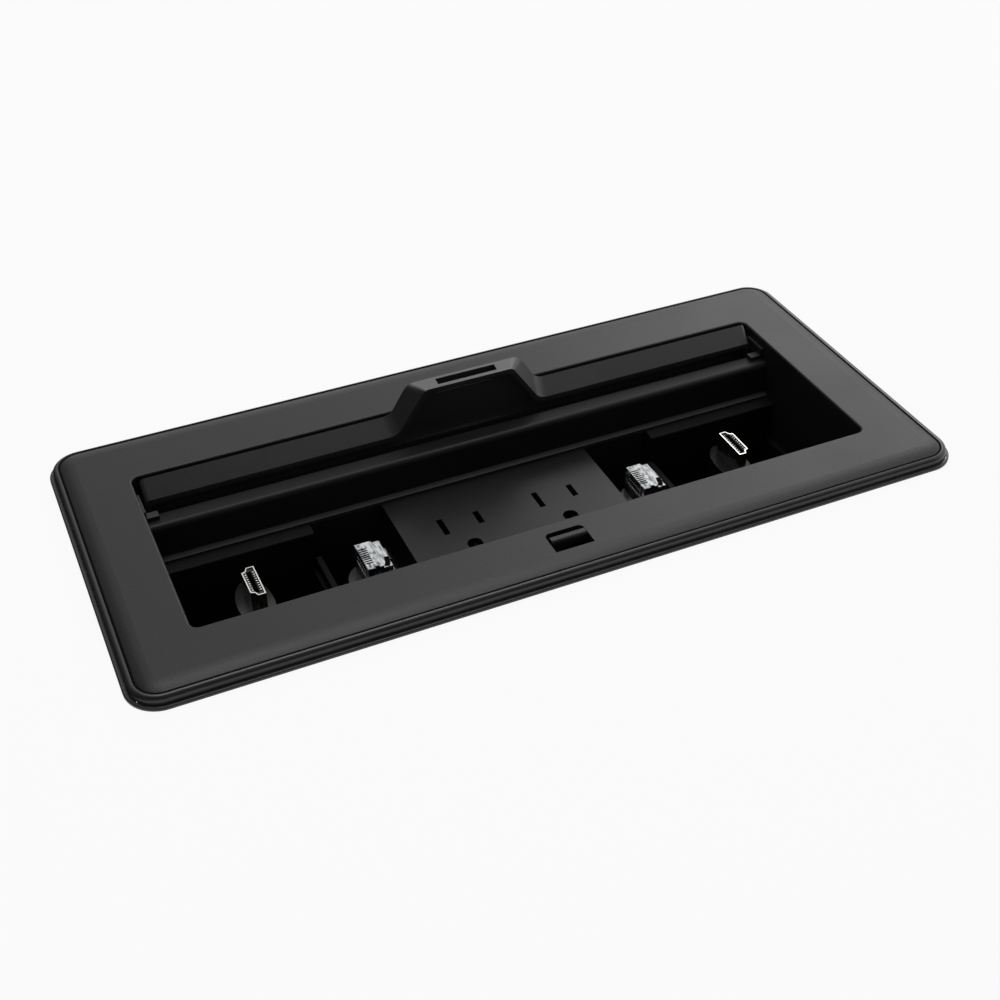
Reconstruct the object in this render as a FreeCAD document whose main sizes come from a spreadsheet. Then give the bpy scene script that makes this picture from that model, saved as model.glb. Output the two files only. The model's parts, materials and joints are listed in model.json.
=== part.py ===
import FreeCAD, Part
import Sketcher
import math
import os

# In-desk power module with a lid that stows upright behind the sockets. Millimetres, +Z up.
# The origin is at the centre of the flange's underside, which is the level of the table top.
# X runs along the module, and -Y is the side where the user sits.

V = FreeCAD.Vector
doc = FreeCAD.newDocument("InDeskPowerModule")

# Driving dimensions. Drops are measured down from the top of the bezel.
dims = {
    # flange: bezel plate and trim ring
    "flangeWidth": 276, "flangeDepth": 123.8, "flangeHeight": 4.8, "flangeRadius": 10.5,
    "trimRimSide": 3.3, "trimRimFront": 2.75, "trimDrop": 0.95, "trimRound": 1.5,
    "lipWidth": 1.2, "lipHeight": 1.05, "lipRound": 0.45,
    "plateGap": 0.35, "plateThickness": 2.8,
    "shoulderRun": 2.6, "shoulderDrop": 1.1,
    # aperture in the bezel plate
    "apertureSide": 23.25, "apertureRearMargin": 24.95, "apertureRadius": 2.5,
    "apertureRound": 0.8,
    # window for the latch in the front of the bezel
    "windowWidth": 13, "windowInset": 4.5, "windowRadius": 1.8, "windowRamp": 1.4,
    # sheet-steel enclosure under the table
    "steel": 1.2, "enclosureSide": 10, "enclosureFront": 7.9, "enclosureHeight": 112,
    "turnoutEdge": 2.9, "turnin": 12, "enclosureRadius": 3,
    # moulded liner, bridge between lid bay and cable bays
    "linerWall": 2, "floorDrop": 60, "floorThickness": 2, "floorRise": 12,
    "lidFrontGap": 2.6, "bridgeWidth": 6.9, "bridgeDrop": 7.5, "bridgeRound": 2,
    "bridgeSkin": 1.8, "shelfDrop": 19.9, "shelfWidth": 2.4, "shelfStep": 0.3,
    "shelfLip": 0.8,
    # frames of the outer bays
    "frameLap": 0.5, "frameDepth": 4.3, "frameDrop": 20.9, "frameFall": 0.4,
    "frameRound": 0.7, "ribThickness": 1.9, "ribDrop": 31,
    "ribBevel": 1.2, "sideLip": 1.3, "sideLipDrop": 35.7, "wallLip": 1.9,
    # socket outlets
    "outletPlateDrop": 20.8, "outletPlateThickness": 2, "outletSkirt": 1.8,
    "outletLip": 2.2, "outletLipDrop": 36.8, "outletSpread": 1.75, "bladeSpacing": 12.7,
    "bladeSetback": 7.675, "slotWidth": 2.05, "neutralSlot": 8.1, "lineSlot": 6.35,
    "groundRow": 11.9, "groundWidth": 5.1, "groundLength": 5.2, "outletBodyWidth": 66,
    "outletBodyGap": 3.3, "outletBodyHeight": 24, "outletBodyWall": 2,
    "contactThickness": 0.8, "contactHeight": 12, "contactGap": 1.5, "contactSpace": 1.2,
    "contactRoom": 1.5,
    # cups in the floor and the cable ends that stand in them
    "videoShift": 0.335, "videoSetback": 19.3, "networkSetback": 23.2,
    "networkInner": 1.5, "networkOuter": 3.7,
    "neckRadius": 5.8, "cupWall": 1.6, "cupHeight": 16, "cupFloor": 2, "spigotRadius": 6,
    "cordHole": 3.6, "tailRadius": 3.3, "tailLength": 9,
    "videoGripX": 6, "videoGripY": 11.7, "videoGripDrop": 30.1,
    "networkGripRadius": 8.2, "networkGripDrop": 30.2,
    "videoPlugLength": 14, "videoPlugThickness": 4.55, "videoPlugDrop": 20.7,
    "videoPlugSunk": 5, "plugWaist": 0.3, "plugStepRun": 1.4, "plugStepWidth": 0.6,
    "plugBevelRun": 2, "plugSkin": 0.4, "plugSlit": 0.9, "plugSlitDrop": 2.7,
    "insertRecess": 0.5, "tongueSlot": 1.5, "tongueSlotLength": 10.8,
    "tongueSlotDeep": 8,
    "networkPlugWidth": 13.2, "networkPlugThickness": 8.35, "networkPlugShift": 0.4,
    "networkPlugDrop": 20.4, "networkPlugSunk": 8, "latchSideWidth": 2.95,
    "latchSideDrop": 0.9, "contactPitch": 1.02, "contactBlade": 0.42,
    "contactSlotDeep": 2.6, "contactSlotLength": 6,
    "clipWidth": 5.6, "clipThickness": 0.9, "clipReach": 2, "clipLength": 7,
    # lid, stowed upright
    "lidClear": 0.35, "lidStand": 1.55, "lidShort": 3.2, "lidBack": 3.95,
    "lidThickness": 5.1, "lidBevel": 5.25, "lidSkin": 1.8, "lidSkirt": 1.6,
    "tabHeight": 10.9, "tabBaseHalf": 27.3, "tabTopHalf": 20.6,
    "tabFaceBaseHalf": 26.6, "tabFaceTopHalf": 16.1, "tabFaceDrop": 0.75,
    "tabBaseRound": 5, "tabTopRound": 5, "tabFaceRound": 2.6, "lidCorner": 1.5,
    "slotLength": 21.6, "slotHeight": 2.8, "slotBack": 1,
    "panelRecess": 1.5, "panelDrop": 5, "panelGap": 0.1,
    "pinRadius": 1.5, "pinEndGap": 0.35, "pinRise": 4,
    "bufferRadius": 3, "bufferInset": 22.6, "bufferHeight": 2.75, "restGap": 0.3,
    # guides and stops at the ends of the lid bay
    "guideThickness": 1.8, "guideCheek": 1.7, "guideCap": 4.45, "guideDrop": 8.5,
    "guideFloor": 0.2,
    "stopThickness": 1, "stopHeight": 4.2, "stopFootHeight": 1.5, "stopFootLength": 3.9,
    "stopFootWidth": 2.9, "stopWidth": 9.6,
    # latch under the front of the bezel
    "hookSideGap": 0.6, "hookThickness": 3, "hookStand": 0.8, "hookDepth": 3,
    "hookRound": 1.2, "hookSetback": 2, "hookClear": 0.5, "stemThickness": 1.4,
    "stemHeight": 5.5, "sliderEar": 1, "sliderDepth": 5.6, "sliderHeight": 3.6,
    "latchTravel": 2, "latchWall": 1.2, "housingGap": 0.45, "springHalf": 0.9,
    "springWave": 0.65, "springLeaf": 0.4, "springRoom": 1.3, "springPocket": 4,
    # brackets under the table
    "tableThickness": 25, "bracketWidth": 40, "bracketEdge": 0.2, "bracketHeight": 70,
    "bracketThickness": 2, "bracketSlot": 3.4, "bracketSlotLength": 40,
    "bracketPitch": 24, "woodHole": 1.8, "woodHoleInset": 3.6,
    # mains inlet and cable exits in the bottom
    "inletWidth": 27, "inletDepth": 20, "inletHeight": 18, "inletWall": 2,
    "inletFlangeWidth": 40, "inletFlangeDepth": 25, "inletFlange": 2,
    "inletPinSpacing": 14, "inletPinRow": 5, "inletPinWidth": 2, "inletPinDepth": 4,
    "inletPinLength": 14, "mainsWidth": 60, "mainsGap": 1,
    "exitLength": 52, "exitWidth": 26, "grommetLip": 2.5, "grommetWall": 1.5,
    # screws and fits
    "screwRadius": 1.5, "screwHead": 2.9, "flangeScrewInset": 38.35, "fit": 0.2,
    "runGap": 0.3,
}

sheet = doc.addObject("Spreadsheet::Sheet", "Dimensions")
for row, (name, number) in enumerate(dims.items(), 1):
    sheet.set("A%d" % row, name)
    sheet.set("B%d" % row, str(number))
    sheet.setAlias("B%d" % row, name)
doc.recompute()


class Size:
    # a length together with the formula that ties it to the sheet
    def __init__(self, value, formula):
        self.value, self.formula = float(value), formula

    def join(self, other, sign, value, swap=False):
        pair = (self.formula, formulaOf(other))
        return Size(value, "(%s %s %s)" % ((pair[1], sign, pair[0]) if swap else
                                           (pair[0], sign, pair[1])))

    def __add__(self, other):
        return self.join(other, "+", self.value + float(other))

    def __radd__(self, other):
        return self.join(other, "+", self.value + float(other), True)

    def __sub__(self, other):
        return self.join(other, "-", self.value - float(other))

    def __rsub__(self, other):
        return self.join(other, "-", float(other) - self.value, True)

    def __mul__(self, other):
        return self.join(other, "*", self.value * float(other))

    def __rmul__(self, other):
        return self.join(other, "*", self.value * float(other), True)

    def __truediv__(self, other):
        return self.join(other, "/", self.value / float(other))

    def __neg__(self):
        return Size(-self.value, "(0 - %s)" % self.formula)

    def __float__(self):
        return self.value


def lower(a, b):
    # the deeper of two levels
    return Size(min(float(a), float(b)), "min(%s; %s)" % (formulaOf(a), formulaOf(b)))


def formulaOf(number):
    return number.formula if isinstance(number, Size) else "(%r)" % float(number)


class Dimensions:
    # every cell of the sheet as a Size, by its alias
    def __init__(self):
        for name in dims:
            setattr(self, name, Size(sheet.get(name), "Dimensions." + name))


d = Dimensions()
zero = Size(0, "(0)")
kept = []


def bind(thing, path, number):
    if isinstance(number, Size):
        thing.setExpression(path, number.formula)


def setLength(thing, name, number):
    setattr(thing, name, float(number))
    bind(thing, name, number)


def place(thing, x=0, y=0, z=0, turn=None):
    thing.Placement = FreeCAD.Placement(V(float(x), float(y), float(z)),
                                        turn or FreeCAD.Rotation())
    for axis, number in zip("xyz", (x, y, z)):
        bind(thing, ".Placement.Base." + axis, number)


def keep(thing, label):
    thing.Label = label
    kept.append(thing)
    return thing


# Solids from primitives

def box(x, y, z):
    # a block between two heights of each axis, each given as a pair
    thing = doc.addObject("Part::Box", "Block")
    for name, pair in zip(("Length", "Width", "Height"), (x, y, z)):
        setLength(thing, name, pair[1] - pair[0])
    place(thing, x[0], y[0], z[0])
    return thing


alongX = FreeCAD.Rotation(V(0, 1, 0), 90)
alongY = FreeCAD.Rotation(V(1, 0, 0), -90)


def rod(x, y, z, radius, length, turn=None):
    thing = doc.addObject("Part::Cylinder", "Rod")
    setLength(thing, "Radius", radius)
    setLength(thing, "Height", length)
    place(thing, x, y, z, turn)
    return thing


def cone(x, y, z, radius1, radius2, length):
    thing = doc.addObject("Part::Cone", "Taper")
    setLength(thing, "Radius1", radius1)
    setLength(thing, "Radius2", radius2)
    setLength(thing, "Height", length)
    place(thing, x, y, z)
    return thing


def fuse(*pieces):
    thing = doc.addObject("Part::MultiFuse", "Joined")
    thing.Shapes = list(pieces)
    thing.Refine = True
    return thing


def group(*pieces):
    thing = doc.addObject("Part::Compound", "Group")
    thing.Links = list(pieces)
    return thing


def cut(base, *tools):
    thing = doc.addObject("Part::Cut", "Trimmed")
    thing.Base = base
    thing.Tool = tools[0] if len(tools) == 1 else fuse(*tools)
    return thing


def mirrored(source, label):
    # the left-hand twin of a right-hand piece
    thing = doc.addObject("Part::Mirroring", "Twin")
    thing.Source = source
    thing.Normal = V(1, 0, 0)
    return keep(thing, label)


# Bodies from sketches

def newBody(label):
    return keep(doc.addObject("PartDesign::Body", "Body"), label)


def newSketch(body, plane, offset):
    sketch = body.newObject("Sketcher::SketchObject", "Outline")
    origin = [o for o in body.Origin.OriginFeatures if o.Role == plane + "_Plane"][0]
    sketch.AttachmentSupport = [(origin, "")]
    sketch.MapMode = "FlatFace"
    sketch.AttachmentOffset = FreeCAD.Placement(V(0, 0, float(offset)), FreeCAD.Rotation())
    bind(sketch, ".AttachmentOffset.Base.z", offset)
    return sketch


def dimension(sketch, kind, *where):
    number = where[-1]
    index = sketch.addConstraint(Sketcher.Constraint(kind, *where[:-1], float(number)))
    bind(sketch, "Constraints[%d]" % index, number)


def drawOutline(sketch, points):
    # a closed outline of straight lines through the points
    last = len(points) - 1
    for i, (x, y) in enumerate(points):
        x2, y2 = points[0] if i == last else points[i + 1]
        sketch.addGeometry(Part.LineSegment(V(float(x), float(y), 0),
                                            V(float(x2), float(y2), 0)), False)
    first = sketch.GeometryCount - len(points)
    for i in range(len(points)):
        after = first if i == last else first + i + 1
        sketch.addConstraint(Sketcher.Constraint("Coincident", first + i, 2, after, 1))
    for i, (x, y) in enumerate(points):
        dimension(sketch, "DistanceX", -1, 1, first + i, 1, x)
        dimension(sketch, "DistanceY", -1, 1, first + i, 1, y)


def drawRectangle(sketch, x, y, radius=0):
    # a rectangle between two pairs of limits, with round corners if a radius is given
    (x0, x1), (y0, y1), r = x, y, float(radius)
    if r == 0:
        drawOutline(sketch, [(x0, y0), (x1, y0), (x1, y1), (x0, y1)])
        return
    left, right, low, high = float(x0), float(x1), float(y0), float(y1)
    ends = [((left + r, low), (right - r, low)), ((right, low + r), (right, high - r)),
            ((right - r, high), (left + r, high)), ((left, high - r), (left, low + r))]
    middles = [(right - r, low + r), (right - r, high - r), (left + r, high - r),
               (left + r, low + r)]
    g = []
    for i in range(4):
        a, b = ends[i]
        g.append(sketch.addGeometry(Part.LineSegment(V(*a, 0), V(*b, 0)), False))
        circle = Part.Circle(V(*middles[i], 0), V(0, 0, 1), r)
        start = (i - 1) * math.pi / 2
        g.append(sketch.addGeometry(Part.ArcOfCircle(circle, start, start + math.pi / 2),
                                    False))
    for i in range(8):
        sketch.addConstraint(Sketcher.Constraint("Tangent", g[i], 2, g[(i + 1) % 8], 1))
    for i, kind in ((0, "Horizontal"), (2, "Vertical"), (4, "Horizontal"), (6, "Vertical")):
        sketch.addConstraint(Sketcher.Constraint(kind, g[i]))
    for i in (3, 5, 7):
        sketch.addConstraint(Sketcher.Constraint("Equal", g[1], g[i]))
    dimension(sketch, "Radius", g[1], radius)
    dimension(sketch, "DistanceX", -1, 1, g[6], 1, x0)
    dimension(sketch, "DistanceX", -1, 1, g[2], 1, x1)
    dimension(sketch, "DistanceY", -1, 1, g[0], 1, y0)
    dimension(sketch, "DistanceY", -1, 1, g[4], 1, y1)


def drawCircle(sketch, x, y, radius):
    g = sketch.addGeometry(Part.Circle(V(float(x), float(y), 0), V(0, 0, 1),
                                       float(radius)), False)
    dimension(sketch, "Radius", g, radius)
    dimension(sketch, "DistanceX", -1, 1, g, 3, x)
    dimension(sketch, "DistanceY", -1, 1, g, 3, y)


def pad(body, sketch, length, reverse=False):
    thing = body.newObject("PartDesign::Pad", "Pad")
    thing.Profile = sketch
    thing.Reversed = reverse
    setLength(thing, "Length", length)
    return thing


def pocket(body, sketch, length, reverse=False):
    # cuts down from an XY sketch, towards +Y from an XZ sketch, towards -X from a YZ sketch
    thing = body.newObject("PartDesign::Pocket", "Pocket")
    thing.Profile = sketch
    thing.Reversed = reverse
    setLength(thing, "Length", length)
    return thing


def padRectangle(body, x, y, z, radius=0):
    sketch = newSketch(body, "XY", z[0])
    drawRectangle(sketch, x, y, radius)
    return pad(body, sketch, z[1] - z[0])


def pocketRectangle(body, x, y, z, radius=0):
    sketch = newSketch(body, "XY", z[1])
    drawRectangle(sketch, x, y, radius)
    return pocket(body, sketch, z[1] - z[0])


def pocketCircles(body, centres, radius, z):
    sketch = newSketch(body, "XY", z[1])
    for x, y in centres:
        drawCircle(sketch, x, y, radius)
    return pocket(body, sketch, z[1] - z[0])


def edgesAt(feature, test):
    # names of the edges whose middle point passes the test
    doc.recompute()
    names = []
    for i, edge in enumerate(feature.Shape.Edges, 1):
        middle = edge.valueAt((edge.FirstParameter + edge.LastParameter) / 2)
        if test(middle, edge):
            names.append("Edge%d" % i)
    return names


def near(a, b, slack=0.02):
    return abs(float(a) - float(b)) < slack


def flatAt(edge, z):
    # true for an edge that lies wholly at one height
    lowest, highest = edge.BoundBox.ZMin, edge.BoundBox.ZMax
    return near(lowest, z) and near(highest, z)


def roundEdges(body, feature, test, radius):
    thing = body.newObject("PartDesign::Fillet", "Round")
    thing.Base = (feature, edgesAt(feature, test))
    setLength(thing, "Radius", radius)
    return thing


def bevelEdges(body, feature, test, run, drop=None):
    thing = body.newObject("PartDesign::Chamfer", "Bevel")
    thing.Base = (feature, edgesAt(feature, test))
    setLength(thing, "Size", run)
    if drop is not None:
        thing.ChamferType = "Two distances"
        setLength(thing, "Size2", drop)
    return thing


def turned(label, outline, x=0, y=0):
    # a turned piece: a half outline of radius and height, revolved about the upright axis
    body = newBody(label)
    sketch = newSketch(body, "XZ", 0)
    drawOutline(sketch, outline)
    thing = body.newObject("PartDesign::Revolution", "Turn")
    thing.Profile = sketch
    thing.ReferenceAxis = (sketch, ["V_Axis"])
    thing.Angle = 360
    place(body, x, y)
    return body


def both(number):
    return (-number, number)


def around(middle, half):
    return (middle - half, middle + half)


def ordered(a, b):
    return (a, b) if float(a) < float(b) else (b, a)


# Levels and lines that several pieces share

top = d.flangeHeight
plateUnder = top - d.plateThickness
plateX = d.flangeWidth / 2 - d.trimRimSide - d.plateGap
plateY = d.flangeDepth / 2 - d.trimRimFront - d.plateGap
enclosureX = d.flangeWidth / 2 - d.enclosureSide
enclosureY = d.flangeDepth / 2 - d.enclosureFront
enclosureUnder = -d.enclosureHeight
coverUnder = enclosureUnder + d.steel
coverTop = coverUnder + d.steel
turnoutX = d.flangeWidth / 2 - d.turnoutEdge
turnoutY = d.flangeDepth / 2 - d.turnoutEdge
screwX = plateX - d.flangeScrewInset
screwY = (enclosureY + turnoutY) / 2
flangeScrews = [(sx * screwX, sy * screwY) for sx in (-1, 1) for sy in (-1, 1)]

# the latch fills the room between the front wall of the enclosure and the aperture
housingFront = d.steel + d.housingGap + d.latchWall - enclosureY
sliderFront = housingFront + d.runGap + d.latchTravel
sliderRear = sliderFront + d.sliderDepth
windowRear = sliderRear
windowDepth = d.hookSetback + d.hookDepth + d.latchTravel + d.hookClear + d.windowRamp
windowFront = windowRear - windowDepth

# bays of the liner, from the front to the rear
apertureX = d.flangeWidth / 2 - d.apertureSide
apertureFront = windowRear + d.windowInset
apertureRear = d.flangeDepth / 2 - d.apertureRearMargin
lidRear = apertureRear - d.lidBack
lidFront = lidRear - d.lidThickness
bridgeRear = lidFront - d.lidFrontGap
bridgeFront = bridgeRear - d.bridgeWidth
bayRear = bridgeFront - d.shelfWidth - d.shelfStep
bayMiddle = (apertureFront + bayRear) / 2
lidTop = top + d.lidStand
lidUnder = lidTop - (apertureRear - apertureFront - d.lidShort)
lidX = apertureX - d.guideThickness - d.lidClear
pinY = (lidRear + lidFront) / 2
pinZ = lidUnder + d.pinRise
floorTop = top - d.floorDrop
floorUnder = floorTop - d.floorThickness
linerFloor = lower(lidUnder - d.restGap - d.bufferHeight, floorUnder - d.floorRise)
linerUnder = linerFloor - d.linerWall

# bays side by side, from the middle outwards
outletX = d.outletBodyWidth / 2 + d.outletBodyGap + d.outletSkirt
networkX = outletX + d.outletLip + d.networkInner + d.networkGripRadius
ribInner = networkX + d.networkGripRadius + d.networkOuter
ribOuter = ribInner + d.ribThickness
frameInner = ribOuter - d.frameLap
videoX = (ribOuter + d.sideLip + apertureX - d.wallLip) / 2 - d.videoShift
videoY = bayRear - d.videoSetback
networkY = bayRear - d.networkSetback

# the mains cover stands in the open bottom of the liner, and the cable exits lie beside it
mainsFront = apertureFront + d.mainsGap
mainsRear = bayRear - d.mainsGap
exitX = (d.mainsWidth / 2 + enclosureX - d.turnin) / 2


def makeBezelPlate():
    # the moulded plate around the aperture: a flat face with a soft shoulder at its rim
    body = newBody("bezel_plate")
    radius = d.flangeRadius - d.trimRimSide - d.plateGap
    plate = padRectangle(body, both(plateX), both(plateY), (plateUnder, top), radius)
    slope = bevelEdges(body, plate, lambda p, e: flatAt(e, top), d.shoulderDrop,
                       d.shoulderRun)
    doc.recompute()
    if not near(rimReach(slope), plateX - d.shoulderRun, 0.2):
        slope.FlipDirection = True
    shoulderRound = d.shoulderRun * d.shoulderRun / d.shoulderDrop * 1.9
    crest = roundEdges(body, slope, lambda p, e: flatAt(e, top), shoulderRound)
    hole = pocketRectangle(body, both(apertureX), (apertureFront, apertureRear),
                           (plateUnder, top), d.apertureRadius)
    soft = roundEdges(body, hole, lambda p, e: flatAt(e, top) and onAperture(p),
                      d.apertureRound)
    rampLine = windowFront + d.windowRamp
    pocketRectangle(body, both(d.windowWidth / 2), (rampLine, windowRear),
                    (plateUnder, top), d.windowRadius)
    sketch = newSketch(body, "YZ", d.windowWidth / 2)
    drawOutline(sketch, [(windowFront, top), (rampLine + d.windowRadius, top),
                         (rampLine + d.windowRadius, plateUnder), (rampLine, plateUnder)])
    pocket(body, sketch, d.windowWidth)
    pocketCircles(body, flangeScrews, d.screwRadius, (plateUnder, top - d.shoulderDrop))
    return body


def rimReach(feature):
    # how far out the outline of the flat top lies
    return max(e.BoundBox.XMax for e in feature.Shape.Edges if flatAt(e, top))


def onAperture(p):
    return abs(p.x) < float(apertureX) + 0.1 and float(apertureFront) - 0.1 < p.y \
        < float(apertureRear) + 0.1


def makeTrimRing():
    # the ring that frames the plate: a rounded wall that stands on a thin lip
    body = newBody("trim_ring")
    halfX, halfY = d.flangeWidth / 2, d.flangeDepth / 2
    lip = padRectangle(body, both(halfX), both(halfY), (zero, d.lipHeight),
                       d.flangeRadius)
    lipEdge = roundEdges(body, lip, lambda p, e: flatAt(e, d.lipHeight), d.lipRound)
    trimTop = top - d.trimDrop
    wall = padRectangle(body, both(halfX - d.lipWidth), both(halfY - d.lipWidth),
                        (zero, trimTop), d.flangeRadius - d.lipWidth)
    crown = roundEdges(body, wall, lambda p, e: flatAt(e, trimTop), d.trimRound)
    pocketRectangle(body, both(halfX - d.trimRimSide), both(halfY - d.trimRimFront),
                    (plateUnder, trimTop), d.flangeRadius - d.trimRimSide)
    pocketRectangle(body, both(enclosureX + d.fit), both(enclosureY + d.fit),
                    (zero, plateUnder), d.enclosureRadius)
    pocketRectangle(body, both(turnoutX + d.fit), both(turnoutY + d.fit),
                    (zero, d.steel), d.enclosureRadius)
    pocketCircles(body, flangeScrews, d.screwRadius + d.fit, (zero, plateUnder))
    return body


def makeEnclosure():
    # folded steel box, its top edge turned out under the ring, its bottom edge turned in
    body = newBody("enclosure")
    halfX, halfY = enclosureX, enclosureY
    padRectangle(body, both(halfX), both(halfY), (enclosureUnder, plateUnder),
                 d.enclosureRadius)
    padRectangle(body, both(turnoutX), both(turnoutY), (zero, d.steel),
                 d.enclosureRadius)
    pocketRectangle(body, both(halfX - d.steel), both(halfY - d.steel),
                    (coverUnder, plateUnder), d.enclosureRadius - d.steel)
    pocketRectangle(body, both(halfX - d.turnin), both(halfY - d.turnin),
                    (enclosureUnder, coverUnder), d.enclosureRadius)
    pocketCircles(body, flangeScrews, d.screwRadius + d.fit, (zero, d.steel))
    pocketCircles(body, coverScrews(), d.screwRadius + d.fit, (enclosureUnder, coverUnder))
    sketch = newSketch(body, "YZ", halfX)
    for y in both(d.bracketPitch / 2):
        drawCircle(sketch, y, -d.tableThickness - d.bracketHeight / 2, d.screwRadius)
    pocket(body, sketch, 2 * enclosureX)
    return body


def coverScrews():
    x, y = enclosureX - d.turnin / 2, enclosureY - d.turnin / 2
    return [(sx * x, sy * y) for sx in (-1, 1) for sy in (-1, 1)]


def makeBottomCover():
    # flat cover that lies on the turned-in edge, open for the inlet and the cables
    body = newBody("bottom_cover")
    halfX, halfY = enclosureX - d.steel - d.fit, enclosureY - d.steel - d.fit
    padRectangle(body, both(halfX), both(halfY), (coverUnder, coverTop),
                 d.enclosureRadius - d.steel)
    pocketRectangle(body, both(d.inletWidth / 2 + d.fit),
                    around(bayMiddle, d.inletDepth / 2 + d.fit), (coverUnder, coverTop),
                    d.inletWall)
    for side in (-1, 1):
        middle = side * exitX
        pocketRectangle(body, around(middle, d.exitLength / 2), both(d.exitWidth / 2),
                        (coverUnder, coverTop), d.exitWidth / 2 - d.fit)
    pocketCircles(body, coverScrews(), d.screwRadius, (coverUnder, coverTop))
    return body


def makeLiner():
    # moulded frame round all the bays, with the floor of the lid bay
    body = newBody("liner")
    wall = d.linerWall
    padRectangle(body, both(apertureX + wall), (apertureFront - wall, apertureRear + wall),
                 (linerUnder, plateUnder), d.apertureRadius + wall)
    pocketRectangle(body, both(apertureX), (apertureFront, apertureRear),
                    (linerFloor, plateUnder), d.apertureRadius)
    pocketRectangle(body, both(apertureX), (apertureFront, bayRear),
                    (linerUnder, linerFloor), d.apertureRadius)
    return body


def makeBridge():
    # long wall between the lid bay and the cable bays, with the shelf in its front
    body = newBody("bridge")
    bridgeTop = top - d.bridgeDrop
    shelf = top - d.shelfDrop
    foot = linerFloor
    shelfFront = bridgeFront - d.shelfWidth
    sketch = newSketch(body, "YZ", -apertureX)
    drawOutline(sketch, [(bridgeRear, foot), (bridgeRear, bridgeTop), (bridgeFront, bridgeTop),
                         (bridgeFront, shelf), (shelfFront, shelf),
                         (shelfFront, shelf - d.shelfLip), (bayRear, shelf - d.shelfLip),
                         (bayRear, foot)])
    bar = pad(body, sketch, 2 * apertureX)
    crest = roundEdges(body, bar, lambda p, e: flatAt(e, bridgeTop) and near(p.y, bridgeFront)
                       and near(p.x, 0), d.bridgeRound)
    back = roundEdges(body, crest, lambda p, e: flatAt(e, bridgeTop)
                      and near(p.y, bridgeRear) and near(p.x, 0), d.bridgeRound / 4)
    roundEdges(body, back, lambda p, e: flatAt(e, shelf) and near(p.y, shelfFront)
               and near(p.x, 0), d.shelfStep)
    sketch = newSketch(body, "YZ", apertureX - d.bridgeSkin)
    drawRectangle(sketch, (bridgeFront + d.bridgeSkin, bridgeRear - d.bridgeSkin),
                  (foot, bridgeTop - d.bridgeRound))
    pocket(body, sketch, 2 * (apertureX - d.bridgeSkin))
    return body


def makeVideoFrame():
    # frame of the outer bay: a sloping ledge at the back, a lip and a dividing rib
    body = newBody("video_frame_right")
    ledge = top - d.frameDrop
    front = bayRear - d.frameDepth
    sketch = newSketch(body, "YZ", frameInner)
    drawOutline(sketch, [(bayRear, floorTop), (bayRear, ledge),
                         (front, ledge - d.frameFall), (front, floorTop)])
    block = pad(body, sketch, apertureX - frameInner)
    roundEdges(body, block, lambda p, e: near(p.y, front) and near(p.z, ledge - d.frameFall),
               d.frameRound)
    lip = top - d.sideLipDrop
    padRectangle(body, (apertureX - d.wallLip, apertureX),
                 (apertureFront + d.apertureRadius, front), (floorTop, lip))
    padRectangle(body, (ribOuter, ribOuter + d.sideLip), (apertureFront, front),
                 (floorTop, lip))
    sketch = newSketch(body, "YZ", ribInner)
    ribTop = top - d.ribDrop
    drawOutline(sketch, [(apertureFront, floorTop), (apertureFront, ribTop),
                         (front - d.ribBevel, ribTop), (front, ribTop - d.ribBevel / 2),
                         (front, floorTop)])
    pad(body, sketch, d.ribThickness)
    return body


outletPitch = d.outletBodyWidth / 2 + d.outletSpread
bladeY = bayMiddle + d.bladeSetback
groundY = bladeY - d.groundRow


def outletCentres():
    return both(outletPitch / 2)


def makeOutletPlate():
    # face of the two outlets, with skirts down to the floor and a lip along each bay
    body = newBody("outlet_plate")
    halfX = outletX
    faceTop = top - d.outletPlateDrop
    faceUnder = faceTop - d.outletPlateThickness
    rear = bayRear - d.fit
    padRectangle(body, both(halfX), (apertureFront, rear), (faceUnder, faceTop))
    for side in (-1, 1):
        inner, outer, lip = (side * (halfX - d.outletSkirt), side * halfX,
                             side * (halfX + d.outletLip))
        skirt = (inner, outer) if side > 0 else (outer, inner)
        padRectangle(body, skirt, (apertureFront, rear), (floorTop, faceUnder))
        ledge = (inner, lip) if side > 0 else (lip, inner)
        padRectangle(body, ledge, (apertureFront, rear),
                     (floorTop, top - d.outletLipDrop))
    sketch = newSketch(body, "XY", faceTop)
    for middle in outletCentres():
        for offset, length in ((-d.bladeSpacing / 2, d.neutralSlot),
                               (d.bladeSpacing / 2, d.lineSlot)):
            drawRectangle(sketch, around(middle + offset, d.slotWidth / 2),
                          around(bladeY, length / 2))
        drawRectangle(sketch, around(middle, d.groundWidth / 2),
                      around(groundY, d.groundLength / 2), d.groundWidth / 2 - d.fit)
    pocket(body, sketch, d.outletPlateThickness)
    return body


outletBodyTop = top - d.outletPlateDrop - d.outletPlateThickness
contactFront = groundY - d.groundLength / 2
contactRear = bladeY + d.neutralSlot / 2 + d.contactThickness
outletBodyFront = contactFront - d.contactRoom - d.outletBodyWall
outletBodyRear = contactRear + d.contactRoom + d.outletBodyWall


def makeOutletBody():
    # moulded trough under the face, which holds the contacts
    body = newBody("outlet_body")
    halfX, wall = d.outletBodyWidth / 2, d.outletBodyWall
    under = outletBodyTop - d.outletBodyHeight
    block = padRectangle(body, both(halfX), (outletBodyFront, outletBodyRear),
                         (under, outletBodyTop), wall)
    pocketRectangle(body, both(halfX - wall), (outletBodyFront + wall, outletBodyRear - wall),
                    (under + wall, outletBodyTop), wall / 2)
    return body


contactFloor = outletBodyTop - d.outletBodyHeight + d.outletBodyWall


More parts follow.
